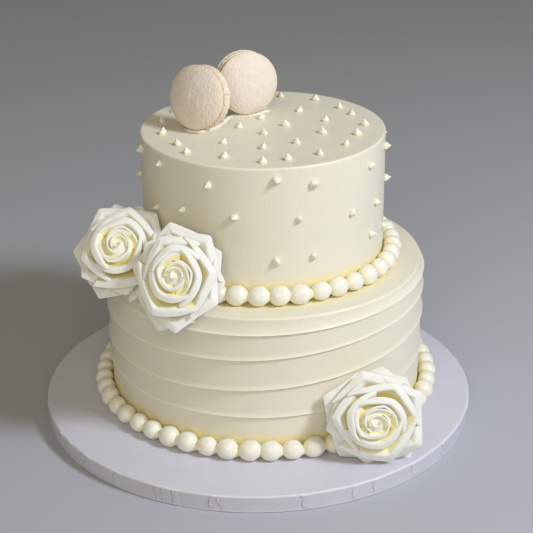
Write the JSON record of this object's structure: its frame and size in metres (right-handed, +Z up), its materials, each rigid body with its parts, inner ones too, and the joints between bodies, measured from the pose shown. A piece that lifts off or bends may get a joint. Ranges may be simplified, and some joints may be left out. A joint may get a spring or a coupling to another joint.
{
  "type": "tiered cake",
  "caption": "Round tiered celebration cake on its drum board, iced all over, with bead borders, piped peaks, macarons and foam roses.",
  "frame": {"origin": "middle of the drum board's flat underside", "axes": "+Z up along the tiers, -Y towards the front of the cake, +X to the right seen from the front"},
  "size_m": [0.3048, 0.3048, 0.2471],
  "materials": {
    "board_foil": "satin embossed foil paper",
    "icing": "smooth satin buttercream",
    "border_icing": "glossy piped buttercream",
    "macaron_shell": "matt, finely wrinkled baked shell",
    "macaron_filling": "soft cream",
    "rose_foam": "matt foam sheet",
    "calyx_green": "satin"
  },
  "bodies": {
    "root": {"board": "board_foil", "lower_tier": "icing", "upper_tier": "icing", "lower_beads": "border_icing", "upper_beads": "border_icing", "macaron_front_face": "macaron_shell", "macaron_front_filling": "macaron_filling", "macaron_front_back": "macaron_shell", "macaron_rear_face": "macaron_shell", "macaron_rear_filling": "macaron_filling", "macaron_rear_back": "macaron_shell", "rose_left": "rose_foam", "rose_front": "rose_foam", "rose_low": "rose_foam", "calyx_left": "calyx_green", "calyx_front": "calyx_green", "calyx_low": "calyx_green"}
  },
  "joints": []
}
